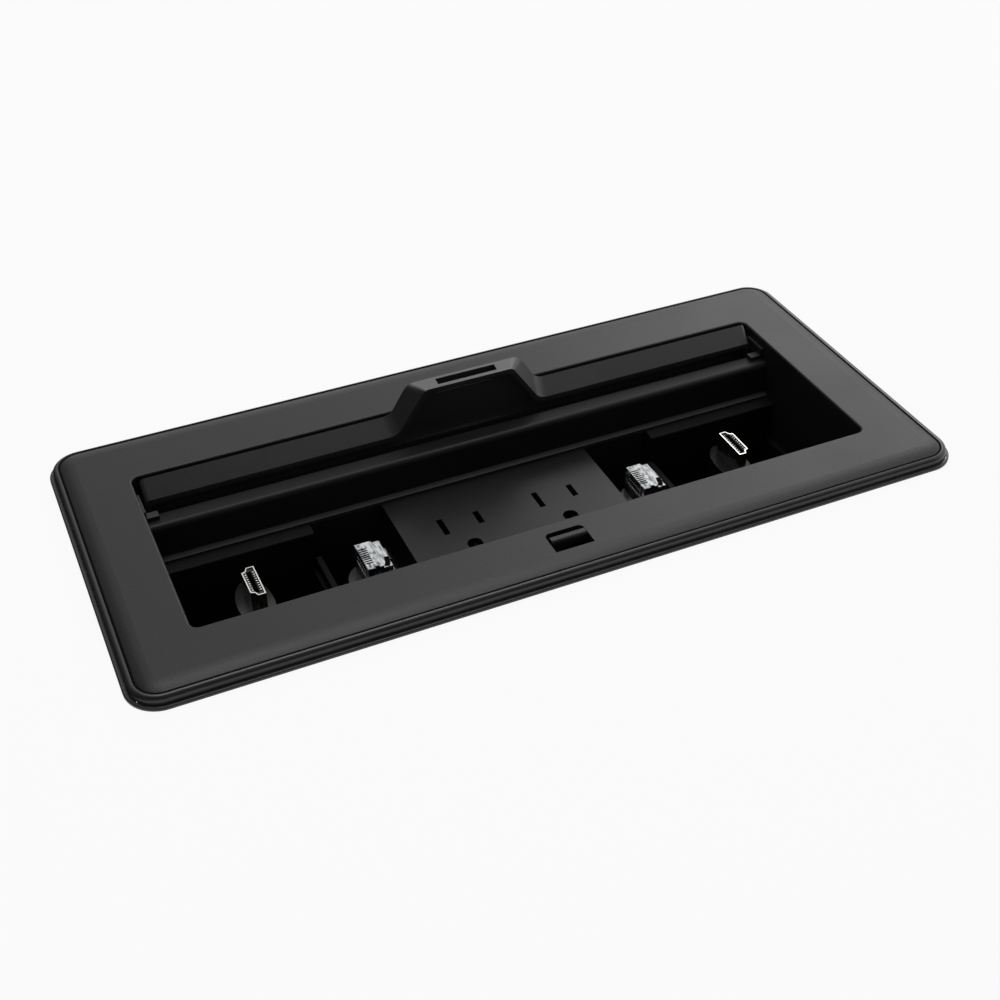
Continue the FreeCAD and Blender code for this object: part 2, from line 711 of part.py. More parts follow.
def makeContacts(label, offset, y, strip, lift):
    # spring leaves in pairs under one kind of slot, joined by a strip along both outlets
    leaf, gap = d.contactThickness, d.contactGap
    reach = outletPitch / 2 + gap / 2 + leaf
    pieces = [box((offset - reach, offset + reach), strip[0], strip[1])]
    for middle in outletCentres():
        for side in (-1, 1):
            x = middle + offset + side * gap / 2
            pieces.append(box(ordered(x, x + side * leaf), y,
                              (contactFloor + lift, contactFloor + d.contactHeight)))
    return keep(fuse(*pieces), label)


def makeAllContacts():
    # the line and ground strips lie flat, and the neutral strip stands behind the leaves
    leaf = d.contactThickness
    flat = (contactFloor, contactFloor + leaf)
    line = (bladeY - d.lineSlot / 2, bladeY + d.lineSlot / 2)
    makeContacts("line_contacts", d.bladeSpacing / 2, line, (line, flat), leaf)
    ground = (groundY - d.groundLength / 2, groundY + d.groundLength / 2)
    makeContacts("ground_contacts", zero, ground, (ground, flat), leaf)
    rear = bladeY + d.neutralSlot / 2
    makeContacts("neutral_contacts", -d.bladeSpacing / 2, (rear - d.neutralSlot, rear),
                 ((rear, rear + leaf), (contactFloor, contactFloor + d.contactHeight)),
                 leaf + d.contactSpace)


def makeFloor():
    # floor of the cable bays, with a seat for each cup
    body = newBody("bay_floor")
    padRectangle(body, both(apertureX), (apertureFront, bayRear), (floorUnder, floorTop),
                 d.apertureRadius)
    pocketCircles(body, cups.values(), d.spigotRadius, (floorUnder, floorTop))
    return body


cups = {"video_cup_left": (-videoX, videoY), "video_cup_right": (videoX, videoY),
        "network_cup_left": (-networkX, networkY), "network_cup_right": (networkX, networkY)}


def makeCup(label, x, y):
    # round cup that a cable end stands in, its spigot pressed through the floor
    inner = d.neckRadius + d.fit
    return turned(label, [
        (d.cordHole, floorUnder), (d.spigotRadius, floorUnder), (d.spigotRadius, floorTop),
        (inner + d.cupWall, floorTop), (inner + d.cupWall, floorTop + d.cupHeight),
        (inner, floorTop + d.cupHeight), (inner, floorTop + d.cupFloor),
        (d.cordHole, floorTop + d.cupFloor)], x, y)


def drawOval(sketch, halfX, halfY):
    # an upright oval about the origin of the sketch
    g = sketch.addGeometry(Part.Ellipse(V(0, float(halfY), 0), V(float(halfX), 0, 0),
                                        V(0, 0, 0)), False)
    sketch.exposeInternalGeometry(g)
    sketch.addConstraint(Sketcher.Constraint("Coincident", g, 3, -1, 1))
    sketch.addConstraint(Sketcher.Constraint("Vertical", g + 1))
    dimension(sketch, "Distance", g + 1, 2 * halfY)
    dimension(sketch, "Distance", g + 2, 2 * halfX)


def makeBoot(label, x, y, grip, drop, plug):
    # grip of a cable end on a round neck that stands in the cup, with a tail for the cable
    rim = top - drop
    seat = floorTop + d.cupFloor
    under = floorTop + d.cupHeight
    body = turned(label, [
        (zero, under), (d.neckRadius, under), (d.neckRadius, seat), (d.tailRadius, seat),
        (d.tailRadius, seat - d.tailLength), (zero, seat - d.tailLength)], x, y)
    sketch = newSketch(body, "XY", under)
    if grip[0] is grip[1]:
        drawCircle(sketch, zero, zero, grip[0])
    else:
        drawOval(sketch, *grip)
    pad(body, sketch, rim - under)
    sketch = newSketch(body, "XY", rim)
    outline, depth = plug
    drawOutline(sketch, outline)
    pocket(body, sketch, depth)
    return body


def videoOutline(grow, side):
    # outline of the video plug: stepped in towards its narrow side, which looks outwards
    u, v = d.videoPlugLength / 2 + grow, d.videoPlugThickness / 2 + grow
    waist = d.plugWaist + grow / 2
    half = [(v, u - d.plugBevelRun), (waist + d.plugStepWidth, u - d.plugStepRun), (waist, u),
            (-v, u)]
    if side < 0:
        half = [(-x, y) for x, y in half]
    return half + [(x, -y) for x, y in reversed(half)]


def makeVideoPlug(name, side):
    # the drawn metal shell, slit at its front end, and the moulded insert with its slot
    x = side * videoX
    tip = top - d.videoPlugDrop
    rim = top - d.videoGripDrop
    root = rim - d.videoPlugSunk
    shell = newBody("video_plug_shell_" + name)
    sketch = newSketch(shell, "XY", root)
    drawOutline(sketch, videoOutline(zero, side))
    pad(shell, sketch, tip - root)
    sketch = newSketch(shell, "XY", tip)
    drawOutline(sketch, videoOutline(-d.plugSkin, side))
    pocket(shell, sketch, tip - root)
    sketch = newSketch(shell, "XZ", d.videoPlugLength / 2)
    drawRectangle(sketch, both(d.plugSlit / 2), (rim, tip - d.plugSlitDrop))
    pocket(shell, sketch, d.plugSkin)
    place(shell, x, videoY)
    insert = newBody("video_plug_insert_" + name)
    sketch = newSketch(insert, "XY", root)
    drawOutline(sketch, videoOutline(-d.plugSkin, side))
    pad(insert, sketch, tip - root - d.insertRecess)
    pocketRectangle(insert, both(d.tongueSlot / 2), both(d.tongueSlotLength / 2),
                    (tip - d.insertRecess - d.tongueSlotDeep, tip - d.insertRecess))
    place(insert, x, videoY)
    makeBoot("video_boot_" + name, x, videoY, (d.videoGripX, d.videoGripY),
             d.videoGripDrop, (videoOutline(zero, side), d.videoPlugSunk))


def makeNetworkPlug(name, side):
    # clear moulded plug: eight slotted contacts on one side, a lower ledge with the
    # spring clip on the other
    x = side * networkX
    tip = top - d.networkPlugDrop
    rim = top - d.networkGripDrop
    root = rim - d.networkPlugSunk
    face, back = around(d.networkPlugShift, d.networkPlugThickness / 2)
    ledge, ledgeTop = back - d.latchSideWidth, tip - d.latchSideDrop
    halfY = d.networkPlugWidth / 2
    body = newBody("network_plug_" + name)
    sketch = newSketch(body, "XZ", -halfY)
    knee = ledgeTop - d.clipThickness
    drawOutline(sketch, [(face, root), (face, tip), (ledge, tip), (ledge, ledgeTop),
                         (back, ledgeTop), (back, root)])
    pad(body, sketch, d.networkPlugWidth)
    sketch = newSketch(body, "XZ", -d.clipWidth / 2)
    drawOutline(sketch, [(back, ledgeTop), (back + d.clipThickness, knee),
                         (back + d.clipReach, ledgeTop - d.clipLength),
                         (back + d.clipReach - d.clipThickness, ledgeTop - d.clipLength),
                         (back, knee - d.clipThickness * 2)])
    pad(body, sketch, d.clipWidth)
    rows = [(i - 3.5) * d.contactPitch for i in range(8)]
    sketch = newSketch(body, "XY", tip)
    for y in rows:
        drawRectangle(sketch, (face, face + d.contactSlotDeep), around(y, d.contactBlade / 2))
    pocket(body, sketch, d.contactSlotLength)
    place(body, x, networkY)
    blades = [box((x + face + d.contactBlade, x + face + d.contactSlotDeep),
                  around(networkY + y, d.contactBlade / 2),
                  (tip - d.contactSlotLength, tip - d.contactBlade)) for y in rows]
    keep(group(*blades), "network_contacts_" + name)
    recess = [(face, -halfY), (back, -halfY), (back, halfY), (face, halfY)]
    makeBoot("network_boot_" + name, x, networkY, (d.networkGripRadius, d.networkGripRadius),
             d.networkGripDrop, (recess, d.networkPlugSunk))


# Lid: its outline is a trapezoid tab on a long bar, seen from the front

def roundedWire(points, radii, y):
    # closed wire in an upright plane, each corner rounded by its own radius
    corners = [V(float(px), float(y), float(pz)) for px, pz in points]
    edges, starts, ends = [], [], []
    count = len(corners)
    for i, corner in enumerate(corners):
        before, after = corners[i - 1], corners[(i + 1) % count]
        a, b = (before - corner).normalize(), (after - corner).normalize()
        half = a.getAngle(b) / 2
        run = float(radii[i]) / math.tan(half)
        middle = corner + (a + b).normalize() * (float(radii[i]) / math.sin(half))
        inward = (corner - middle).normalize() * float(radii[i])
        starts.append(corner + a * run)
        ends.append(corner + b * run)
        edges.append(Part.Arc(starts[-1], middle + inward, ends[-1]).toShape())
    for i in range(count):
        edges.append(Part.LineSegment(ends[i], starts[(i + 1) % count]).toShape())
    return Part.Wire(Part.__sortEdges__(edges))


def lidWire(y, shoulder, crown, baseHalf, topHalf, topRound, inset=0.0):
    # outline of the lid at one depth, drawn in by an even inset
    lean = math.atan2(float(baseHalf) - float(topHalf), float(crown) - float(shoulder))
    slip = inset * (1 - math.sin(lean)) / math.cos(lean)
    endX = float(lidX) - inset
    low, high = float(shoulder) - inset, float(crown) - inset
    base, tip = float(baseHalf) - slip, float(topHalf) - slip
    points = [(-endX, float(lidUnder) + inset), (-endX, low), (-base, low), (-tip, high),
              (tip, high), (base, low), (endX, low), (endX, float(lidUnder) + inset)]
    corner, foot, peak = float(d.lidCorner), float(d.tabBaseRound), float(topRound)
    radii = [corner, corner, foot, peak, peak, foot, corner, corner]
    return roundedWire(points, radii, y)


def makeLid():
    # hollow moulded shell: bevelled rim, tab with a slot, open towards the front
    frontShoulder = lidTop - d.lidBevel
    frontCrown = lidTop + d.tabHeight - d.tabFaceDrop
    rear = lidWire(lidRear, lidTop, lidTop + d.tabHeight, d.tabBaseHalf, d.tabTopHalf,
                   d.tabTopRound)
    face = (frontShoulder, frontCrown, d.tabFaceBaseHalf, d.tabFaceTopHalf, d.tabFaceRound)
    front = lidWire(lidFront, *face)
    outer = Part.makeLoft([rear, front], True, True)
    hollowDepth = float(d.lidThickness - d.lidSkin)
    mouth = Part.Face(lidWire(lidFront, *face, inset=float(d.lidSkirt)))
    hollow = mouth.extrude(V(0, hollowDepth, 0))
    slotY = float(lidRear - d.slotBack - d.slotHeight)
    slot = Part.makeBox(float(d.slotLength), float(d.slotHeight), float(d.tabHeight),
                        V(-float(d.slotLength) / 2, slotY, float(lidTop + d.tabHeight / 2)))
    shell = doc.addObject("Part::Feature", "LidShell")
    shell.Shape = outer.cut(hollow).cut(slot)
    keep(shell, "lid_shell")

    # flat panel that closes the hollow below the tab and lies against the skin
    gap = float(d.lidSkirt) + float(d.panelGap)
    panelTop = float(frontShoulder - d.panelDrop)
    halfX, low = float(lidX) - gap, float(lidUnder) + gap
    outline = roundedWire([(-halfX, low), (-halfX, panelTop), (halfX, panelTop), (halfX, low)],
                          [float(d.lidCorner)] * 4, lidFront + d.panelRecess)
    panel = doc.addObject("Part::Feature", "LidPanel")
    panel.Shape = Part.Face(outline).extrude(V(0, hollowDepth - float(d.panelRecess), 0))
    keep(panel, "lid_panel")


pinStart = lidX - d.lidSkirt
pinEnd = apertureX - d.guideFloor - d.pinEndGap


def makePins():
    # the two pins at the foot of the lid that run in the guides
    reach = pinEnd - pinStart
    right = rod(pinStart, pinY, pinZ, d.pinRadius, reach, alongX)
    left = rod(-pinEnd, pinY, pinZ, d.pinRadius, reach, alongX)
    return keep(group(left, right), "lid_pins")


def cutPinHoles():
    # bores for the pins in the ends of the lid
    shell = [k for k in kept if k.Label == "lid_shell"][0]
    reach = float(d.lidSkirt)
    for start in (float(pinStart), -float(lidX)):
        bore = Part.makeCylinder(float(d.pinRadius), reach, V(start, float(pinY), float(pinZ)),
                                 V(1, 0, 0))
        shell.Shape = shell.Shape.cut(bore)


def makeBuffers():
    # two rubber pads that the stowed lid stands on
    height = lidUnder - d.restGap - linerFloor
    return keep(group(*[rod(x, pinY, linerFloor, d.bufferRadius, height)
                        for x in both(lidX - d.bufferInset)]), "lid_buffers")


def makeGuide():
    # slotted rail on the end wall, in which a lid pin slides
    inner = apertureX - d.guideThickness
    outer = apertureX
    rear = apertureRear - d.apertureRadius
    half = d.pinRadius + d.runGap
    front = pinY - half - d.guideCheek
    railTop = top - d.guideDrop
    rail = box((inner, outer), (front, rear), (linerFloor, railTop))
    low, high = pinZ, railTop - d.guideCap
    deep = d.guideThickness - d.guideFloor
    slot = fuse(box((inner, inner + deep), (pinY - half, pinY + half), (low, high)),
                rod(inner, pinY, low, half, deep, alongX),
                rod(inner, pinY, high, half, deep, alongX))
    return keep(cut(rail, slot), "lid_guide_right")


def makeStop():
    # small angle on the end wall above the guide, its foot on top of the bridge
    bridgeTop = top - d.bridgeDrop
    inner = apertureX - d.stopThickness
    rear = bridgeRear - d.runGap
    front = rear - d.stopFootWidth
    blade = box((inner, apertureX), (front, front + d.stopWidth),
                (bridgeTop, bridgeTop + d.stopHeight))
    foot = box((inner - d.stopFootLength, inner), (front, rear),
               (bridgeTop, bridgeTop + d.stopFootHeight))
    return keep(fuse(blade, foot), "lid_stop_right")


# Latch under the front of the bezel

hookX = d.windowWidth / 2 - d.hookSideGap
hookRear = windowRear - d.hookSetback
hookFront = hookRear - d.hookDepth
hookTop = top + d.hookStand
hookUnder = hookTop - d.hookThickness
sliderX = d.windowWidth / 2 + d.sliderEar
sliderTop = hookUnder - d.stemHeight
sliderUnder = sliderTop - d.sliderHeight


def makeHook():
    # rounded bar in the window, on a stem that rises from a slider bored for its spring
    body = newBody("latch_hook")
    sketch = newSketch(body, "YZ", -hookX)
    stemRear = hookRear - (d.hookDepth - d.stemThickness) / 2
    stemFront = stemRear - d.stemThickness
    drawOutline(sketch, [(hookRear, hookUnder), (hookRear, hookTop), (hookFront, hookTop),
                         (hookFront, hookUnder), (stemFront, hookUnder),
                         (stemFront, sliderTop), (stemRear, sliderTop),
                         (stemRear, hookUnder)])
    bar = pad(body, sketch, 2 * hookX)
    roundEdges(body, bar, lambda p, e: flatAt(e, hookTop) and near(p.x, 0), d.hookRound)
    padRectangle(body, both(sliderX), (sliderFront, sliderRear), (sliderUnder, sliderTop))
    sketch = newSketch(body, "XZ", -sliderFront)
    drawCircle(sketch, zero, sliderUnder + d.sliderHeight / 2, d.springRoom)
    pocket(body, sketch, d.springPocket)
    return body


def makeLatchHousing():
    # moulded case that hangs from the bezel and carries the slider
    wall, slack = d.latchWall, d.runGap
    side = sliderX + slack
    rear = sliderRear + slack + wall
    low = sliderUnder - slack - wall
    shell = box(both(side + wall), (housingFront - wall, rear), (low, plateUnder))
    cavity = box(both(side), (housingFront, rear - wall), (low + wall, sliderTop + slack))
    shaft = box(both(d.windowWidth / 2), (windowFront + d.windowRamp, windowRear),
                (sliderTop, plateUnder))
    return keep(cut(shell, cavity, shaft), "latch_housing")


springFolds = 8


def makeSpring():
    # folded leaf in the slider's bore that pushes against the front wall of the housing
    body = newBody("latch_spring")
    middle = sliderUnder + d.sliderHeight / 2
    step = (sliderFront + d.springPocket - housingFront) / springFolds
    path = [(housingFront + i * step, middle + (-1) ** i * d.springWave)
            for i in range(springFolds + 1)]
    sketch = newSketch(body, "YZ", -d.springHalf)
    drawOutline(sketch, [(y, z + d.springLeaf / 2) for y, z in path]
                + [(y, z - d.springLeaf / 2) for y, z in reversed(path)])
    pad(body, sketch, 2 * d.springHalf)
    return body


# Brackets that hold the module from below the table

def bracketScrewPlaces():
    return [(side, y) for side in (-1, 1) for y in both(d.bracketPitch / 2)]


def makeBracket():
    # angle with two upright slots; its foot presses against the underside of the table
    inner = enclosureX
    outer = d.flangeWidth / 2 - d.bracketEdge
    thick = d.bracketThickness
    low = -d.tableThickness - d.bracketHeight
    body = newBody("table_bracket_right")
    padRectangle(body, (inner, inner + thick), both(d.bracketWidth / 2),
                 (low, -d.tableThickness))
    padRectangle(body, (inner, outer), both(d.bracketWidth / 2),
                 (-d.tableThickness - thick, -d.tableThickness))
    sketch = newSketch(body, "YZ", inner + thick)
    middle = -d.tableThickness - d.bracketHeight / 2
    for y in both(d.bracketPitch / 2):
        drawRectangle(sketch, around(y, d.bracketSlot / 2),
                      around(middle, d.bracketSlotLength / 2), d.bracketSlot / 2 - d.fit / 4)
    pocket(body, sketch, thick)
    holeX = outer - d.woodHoleInset
    pocketCircles(body, [(holeX, y) for y in both(d.bracketPitch / 2)], d.woodHole,
                  (-d.tableThickness - thick, -d.tableThickness))
    return body


def makeBracketScrews():
    # pan-head screws through the slots into the enclosure's side
    z = -d.tableThickness - d.bracketHeight / 2
    face = enclosureX + d.bracketThickness
    shank = d.bracketThickness + 3 * d.steel
    pieces = []
    for side, y in bracketScrewPlaces():
        if side > 0:
            head = rod(face, y, z, d.screwHead, d.screwRadius, alongX)
            stem = rod(face - shank, y, z, d.screwRadius, shank, alongX)
        else:
            head = rod(-face - d.screwRadius, y, z, d.screwHead, d.screwRadius, alongX)
            stem = rod(-face, y, z, d.screwRadius, shank, alongX)
        pieces.append(fuse(head, stem))
    return keep(group(*pieces), "bracket_screws")


# Mains inlet, its cover, cable grommets and the remaining screws

def makeInlet():
    # three-pin inlet that looks down through the bottom cover
    halfX, halfY = d.inletWidth / 2, d.inletDepth / 2
    body = newBody("power_inlet")
    rim = coverTop + d.inletFlange
    padRectangle(body, both(halfX), around(bayMiddle, halfY),
                 (coverUnder, coverTop + d.inletHeight), d.inletWall)
    padRectangle(body, both(d.inletFlangeWidth / 2),
                 around(bayMiddle, d.inletFlangeDepth / 2), (coverTop, rim), d.inletWall)
    wall = d.inletWall
    sketch = newSketch(body, "XY", coverUnder)
    drawRectangle(sketch, both(halfX - wall), around(bayMiddle, halfY - wall))
    pocket(body, sketch, d.inletHeight, True)
    return body


def makeInletPins():
    # the three flat pins that stand in the inlet
    start = coverUnder + d.inletHeight
    middle, halfX, halfY = bayMiddle, d.inletPinWidth / 2, d.inletPinDepth / 2
    row = d.inletPinRow / 2
    places = [(-d.inletPinSpacing / 2, middle + row), (d.inletPinSpacing / 2, middle + row),
              (zero, middle - row)]
    pieces = [box(around(x, halfX), around(y, halfY), (start - d.inletPinLength, start))
              for x, y in places]
    return keep(group(*pieces), "inlet_pins")


def makeMainsCover():
    # closed box round the mains wiring, between the floor and the inlet
    halfX, wall = d.mainsWidth / 2, d.linerWall
    shell = box(both(halfX), (mainsFront, mainsRear), (coverTop, floorUnder))
    room = box(both(halfX - wall), (mainsFront + wall, mainsRear - wall),
               (coverTop, floorUnder - wall))
    return keep(cut(shell, room), "mains_cover")


def makeGrommet():
    # rubber ring round a cable exit in the bottom cover
    body = newBody("cable_grommet_right")
    halfX, halfY = d.exitLength / 2, d.exitWidth / 2
    wall, lip = d.grommetWall, d.grommetLip

    def ring(grow, z):
        padRectangle(body, around(exitX, halfX + grow), both(halfY + grow), z,
                     halfY + grow - d.fit)

    ring(zero, (coverUnder, coverTop))
    ring(lip, (coverTop, coverTop + wall))
    pocketRectangle(body, around(exitX, halfX - wall), both(halfY - wall),
                    (coverUnder, coverTop + wall), halfY - wall - d.fit)
    return body


def makeFlangeScrews():
    # countersunk screws up through the turned-out edge into the plate
    pieces = [fuse(cone(x, y, zero, d.screwRadius + d.fit, d.screwRadius, d.steel),
                   rod(x, y, zero, d.screwRadius, top - d.shoulderDrop))
              for x, y in flangeScrews]
    return keep(group(*pieces), "flange_screws")


def makeCoverScrews():
    # screws from inside down through the cover into the turned-in edge
    pieces = [fuse(rod(x, y, coverTop, d.screwHead, d.screwRadius),
                   rod(x, y, enclosureUnder + d.fit, d.screwRadius, coverTop - enclosureUnder))
              for x, y in coverScrews()]
    return keep(group(*pieces), "cover_screws")


makeBezelPlate()
makeTrimRing()
makeEnclosure()
makeBottomCover()
makeLiner()
makeBridge()
mirrored(makeVideoFrame(), "video_frame_left")
makeOutletPlate()
makeOutletBody()
makeAllContacts()
makeFloor()
for cupName, (cupX, cupY) in cups.items():
    makeCup(cupName, cupX, cupY)
for plugName, plugSide in (("left", -1), ("right", 1)):
    makeVideoPlug(plugName, plugSide)
    makeNetworkPlug(plugName, plugSide)
makeLid()
makePins()
makeBuffers()
mirrored(makeGuide(), "lid_guide_left")
mirrored(makeStop(), "lid_stop_left")
makeHook()
makeLatchHousing()
makeSpring()
mirrored(makeBracket(), "table_bracket_left")
makeBracketScrews()
makeInlet()
makeInletPins()
makeMainsCover()
mirrored(makeGrommet(), "cable_grommet_left")
makeFlangeScrews()
makeCoverScrews()
doc.recompute()
cutPinHoles()
doc.recompute()

faulty = [o.Label for o in doc.Objects if "Invalid" in o.State or "Error" in o.State]
for piece in kept:
    if piece.Shape.isNull() or not piece.Shape.isValid() or not piece.Shape.Solids:
        faulty.append(piece.Label)
if faulty:
    raise RuntimeError("these did not build: " + ", ".join(faulty))

os.makedirs("parts", exist_ok=True)
for piece in kept:
    piece.Shape.exportStep("parts/%s.step" % piece.Label)
print(len(kept), "sub-parts written")
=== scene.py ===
import json
import math

import bpy
import numpy as np
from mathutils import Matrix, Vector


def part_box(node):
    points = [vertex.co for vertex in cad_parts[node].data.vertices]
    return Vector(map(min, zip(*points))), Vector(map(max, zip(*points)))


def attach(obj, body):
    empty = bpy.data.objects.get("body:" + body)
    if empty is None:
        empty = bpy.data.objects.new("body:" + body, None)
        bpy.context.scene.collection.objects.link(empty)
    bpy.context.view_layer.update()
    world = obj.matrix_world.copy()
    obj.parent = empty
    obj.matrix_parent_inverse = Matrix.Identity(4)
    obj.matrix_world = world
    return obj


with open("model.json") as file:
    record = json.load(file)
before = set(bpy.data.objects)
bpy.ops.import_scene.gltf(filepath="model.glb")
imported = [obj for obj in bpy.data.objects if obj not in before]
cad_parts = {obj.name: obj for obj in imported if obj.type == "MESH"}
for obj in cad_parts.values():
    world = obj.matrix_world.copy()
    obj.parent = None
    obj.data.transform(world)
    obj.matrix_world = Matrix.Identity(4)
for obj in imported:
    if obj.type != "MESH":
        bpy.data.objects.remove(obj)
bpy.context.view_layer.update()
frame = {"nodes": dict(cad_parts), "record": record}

print("frame loaded:", len(frame["nodes"]), "nodes")


# Helpers for nodes and objects

def hexColour(text):
    # sRGB hex to the linear colour that a shader socket takes
    parts = [int(text[i:i + 2], 16) / 255 for i in (0, 2, 4)]
    return [c / 12.92 if c <= 0.04045 else ((c + 0.055) / 1.055) ** 2.4 for c in parts] + [1]


def grainScale(millimetres):
    # texture scale on Object coordinates, in metres, for a pattern of this size
    return 1000 / millimetres


def setSockets(tree, node, sockets):
    # another node's socket is linked, and any other value is set
    for name, value in sockets.items():
        if isinstance(value, bpy.types.NodeSocket):
            tree.links.new(value, node.inputs[name])
        else:
            node.inputs[name].default_value = value


def addNode(tree, kind, sockets=None, **settings):
    # one shader node with its settings, its socket values and its links
    made = tree.nodes.new("ShaderNode" + kind)
    for name, value in settings.items():
        setattr(made, name, value)
    setSockets(tree, made, sockets or {})
    return made


def emptyTree(owner):
    # the cleared node tree of a material or a world
    owner.use_nodes = True
    owner.node_tree.nodes.clear()
    return owner.node_tree


def newMaterial(name, colour, metallic=0.0, ior=1.5):
    # a material with its surface shader and Object coordinates
    material = bpy.data.materials.new(name)
    tree = emptyTree(material)
    surface = addNode(tree, "BsdfPrincipled", {"Base Color": hexColour(colour),
                                               "Metallic": metallic, "IOR": ior})
    addNode(tree, "OutputMaterial", {"Surface": surface.outputs["BSDF"]})
    place = addNode(tree, "TexCoord").outputs["Object"]
    return material, tree, surface, place


def addObject(name, data):
    thing = bpy.data.objects.new(name, data)
    bpy.context.collection.objects.link(thing)
    return thing


def newMesh(name, points, faces, material):
    mesh = bpy.data.meshes.new(name)
    mesh.from_pydata(points, [], faces)
    mesh.materials.append(material)
    return mesh


# Materials, each named for what the real piece is made of and, where they carry painted light
# or shade, for that; sizes in millimetres

moulded = {"drift": 40, "glossSpread": 0.04, "coatRoughness": 0.2}


def grained(name, colour, shade, roughness, grain, depth, specular=0.5, coat=0.0, shelf=None):
    # moulded or coated surface: fine grain, and slow drifts of tone and gloss; the optional shelf
    # is painted highlight, a level band drawn in a paler colour
    material, tree, surface, place = newMaterial(name, colour)
    fine = addNode(tree, "TexNoise", {"Vector": place, "Scale": grainScale(grain), "Detail": 4.0,
                                      "Roughness": 0.6})
    slow = addNode(tree, "TexNoise", {"Vector": place, "Scale": grainScale(moulded["drift"]),
                                      "Detail": 2.0})
    tone = addNode(tree, "MapRange", {"Value": slow.outputs["Fac"], "From Min": 0.3,
                                      "From Max": 0.7})
    speck = addNode(tree, "MapRange", {"Value": fine.outputs["Fac"], "From Min": 0.35,
                                       "From Max": 0.65, "To Min": 0.0, "To Max": 0.5})
    both = addNode(tree, "Math", {0: tone.outputs["Result"], 1: speck.outputs["Result"]},
                   operation="ADD")
    skin = addNode(tree, "Mix", {"Factor": both.outputs["Value"], 6: hexColour(colour),
                                 7: hexColour(shade)}, data_type="RGBA")
    # painted highlight: a paler colour within a thin level band
    if shelf:
        height = addNode(tree, "SeparateXYZ", {"Vector": place})
        near = addNode(tree, "Math", {0: height.outputs["Z"], 1: shelf["level"] / 1000,
                                      2: shelf["half"] / 1000}, operation="COMPARE")
        skin = addNode(tree, "Mix", {"Factor": near.outputs["Value"], 6: skin.outputs[2],
                                     7: hexColour(shelf["colour"])}, data_type="RGBA")
    gloss = addNode(tree, "MapRange", {"Value": both.outputs["Value"], "From Max": 1.5,
                                       "To Min": roughness - moulded["glossSpread"],
                                       "To Max": roughness + moulded["glossSpread"]})
    bump = addNode(tree, "Bump", {"Strength": 0.6, "Distance": depth / 1000,
                                  "Height": fine.outputs["Fac"]})
    setSockets(tree, surface, {"Base Color": skin.outputs[2],
                               "Roughness": gloss.outputs["Result"],
                               "Normal": bump.outputs["Normal"],
                               "Specular IOR Level": specular})
    if coat:
        setSockets(tree, surface, {"Coat Weight": coat,
                                   "Coat Roughness": moulded["coatRoughness"]})
    return material


def plated(name, colour, roughness, streak):
    # rolled or plated metal: faint streaks along one way and a slightly uneven gloss
    material, tree, surface, place = newMaterial(name, colour, metallic=1.0)
    stretch = addNode(tree, "Mapping", {"Vector": place, "Scale": (1, 12, 1)})
    lines = addNode(tree, "TexNoise", {"Vector": stretch.outputs["Vector"],
                                       "Scale": grainScale(streak), "Detail": 3.0})
    gloss = addNode(tree, "MapRange", {"Value": lines.outputs["Fac"], "From Min": 0.3,
                                       "From Max": 0.7, "To Min": roughness - 0.06,
                                       "To Max": roughness + 0.1})
    bump = addNode(tree, "Bump", {"Strength": 0.1, "Distance": 0.000005,
                                  "Height": lines.outputs["Fac"]})
    setSockets(tree, surface, {"Roughness": gloss.outputs["Result"],
                               "Normal": bump.outputs["Normal"]})
    return material


# black ABS from a finely eroded mould: soft broad sheen, hardly any colour; the real grain is
# near 0.1 mm, too fine to show, so here and below it is drawn at 0.5 mm or more
bezelAbs = grained("eroded black ABS", "161616", "1c1c1c", 0.42, 0.5, 0.09, specular=0.38)
# the lid is the same moulding with more sheen
lidAbs = grained("eroded black ABS, lid", "222222", "282828", 0.42, 0.5, 0.08, specular=1.0)
# satin enamel over a cast ring: smoother than the plastic, so its edges catch light
trimEnamel = grained("satin black enamel", "262626", "2b2b2b", 0.34, 1.2, 0.008)
# plain moulded ABS inside, duller and darker
linerAbs = grained("matt black ABS, inner", "191919", "1d1d1d", 0.42, 0.7, 0.03, specular=0.17)
# the bays' frames are textured and duller still
frameAbs = grained("matt black ABS, textured", "111111", "151515", 0.55, 0.7, 0.05, specular=0.1)
# the long moulding behind the outlets is as the liner, with painted highlight: the flat of its
# shelf is drawn paler, where the light falls on it
bridgeShelfHighlight = {"level": -15.1, "half": 0.15, "colour": "464646"}
bridgeAbs = grained("matt black ABS, shelf painted lit", "191919", "1d1d1d", 0.42, 0.7, 0.03,
                    specular=0.17, shelf=bridgeShelfHighlight)
# moulded polycarbonate of the outlets: flat black with a faint even sheen
outletPc = grained("matt black polycarbonate", "0f0f0f", "131313", 0.36, 0.6, 0.03, specular=0.3)
# powder coat on folded steel: slight orange peel
powderCoat = grained("black powder coat", "1a1a1a", "1f1f1f", 0.5, 1.6, 0.04)
# mains-grade rubber, which hardly shines, the vinyl of cable ends, which has a soft skin of
# gloss, and moulded nylon between the two
blackRubber = grained("matt black rubber", "151515", "1a1a1a", 0.75, 0.8, 0.03)
bootVinyl = grained("black cable vinyl", "121212", "161616", 0.3, 2.0, 0.01, coat=0.3)
nylonBlack = grained("matt black nylon", "101010", "141414", 0.55, 0.6, 0.015)
# nickel plate on drawn steel, bright enough for the rims to flash; zinc plate on pressed
# steel, bluer and duller
nickelPlate = plated("bright nickel plate", "d8d6d0", 0.2, 3.0)
zincPlate = plated("bright zinc plate", "b9bcbe", 0.32, 4.0)
# contacts: brass, darkened partly as dull old brass and partly as painted shade of the deep
# holes it sits in, milky tin, and a thin flash of gold
rolledBrass = plated("rolled brass", "8f7440", 0.4, 3.0)
tinPlate = plated("matt tin plate", "eceae6", 0.5, 3.0)
goldPlate = plated("gold-plated bronze", "e0b862", 0.22, 2.0)
